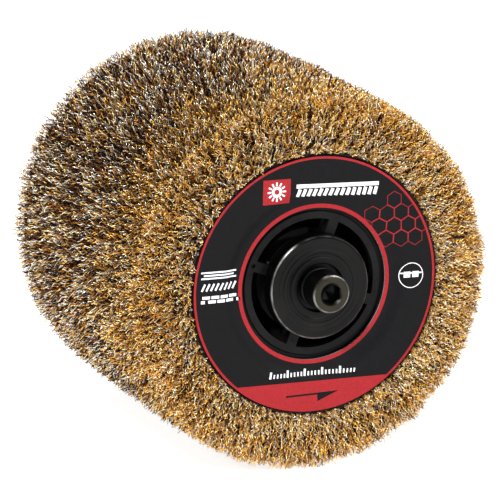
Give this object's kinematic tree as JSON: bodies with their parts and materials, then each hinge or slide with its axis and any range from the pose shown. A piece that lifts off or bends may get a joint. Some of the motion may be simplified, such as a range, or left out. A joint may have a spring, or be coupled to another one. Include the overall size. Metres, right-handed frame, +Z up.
{
  "type": "wire brush roller",
  "caption": "Cylindrical crimped-wire brush roller with a keyed bore, end plates, clamping flange and cap screw.",
  "frame": {"origin": "middle of the bore, half way along the drum", "axes": "+Y along the bore towards the rear end, which goes to the machine; the label faces -Y; +Z up as the label reads"},
  "size_m": [0.122, 0.1243, 0.122],
  "materials": {
    "brass_coated_wire": "crimped, brass-coated, cut tips",
    "plain_steel": "turned and pressed",
    "zinc_screw": "zinc plated",
    "black_oxide_steel": "turned, black oxide, satin",
    "oiled_screw_steel": "black, oiled",
    "black_plastic": "fine moulded grain",
    "printed_label": "satin print, red and white on black"
  },
  "bodies": {
    "drum": {"wire_ring_1": "brass_coated_wire", "retaining_hoop_1": "plain_steel", "wire_ring_2": "brass_coated_wire", "retaining_hoop_2": "plain_steel", "wire_ring_3": "brass_coated_wire", "retaining_hoop_3": "plain_steel", "wire_ring_4": "brass_coated_wire", "retaining_hoop_4": "plain_steel", "wire_ring_5": "brass_coated_wire", "retaining_hoop_5": "plain_steel", "wire_ring_6": "brass_coated_wire", "retaining_hoop_6": "plain_steel", "wire_ring_7": "brass_coated_wire", "retaining_hoop_7": "plain_steel", "wire_ring_8": "brass_coated_wire", "retaining_hoop_8": "plain_steel", "core_tube": "black_plastic", "drive_sleeve": "plain_steel", "front_end_plate": "black_plastic", "rear_end_plate": "black_plastic", "front_label": "printed_label", "front_plate_screw_1": "zinc_screw", "rear_plate_screw_1": "zinc_screw", "front_plate_screw_2": "zinc_screw", "rear_plate_screw_2": "zinc_screw", "front_plate_screw_3": "zinc_screw", "rear_plate_screw_3": "zinc_screw", "front_plate_screw_4": "zinc_screw", "rear_plate_screw_4": "zinc_screw"},
    "flange": {"clamp_flange": "black_oxide_steel"},
    "washer": {"lock_washer": "plain_steel"},
    "screw": {"clamp_screw": "oiled_screw_steel"}
  },
  "joints": [
    {"name": "flange_slide", "type": "slide", "parent": "drum", "child": "flange", "axis": [0, -1, 0], "range_m": [0, 0.045]},
    {"name": "screw_advance", "type": "slide", "parent": "flange", "child": "washer", "axis": [0, -1, 0], "range_m": [0, 0.02]},
    {"name": "screw_turn", "type": "hinge", "parent": "washer", "child": "screw", "pos_m": [0, -0.0608, 0], "axis": [0, -1, 0], "range_deg": [0, 5762]}
  ],
  "couplings": [
    {"joint": "screw_turn", "follows": "screw_advance", "rad_per_m": 5026.5}
  ]
}
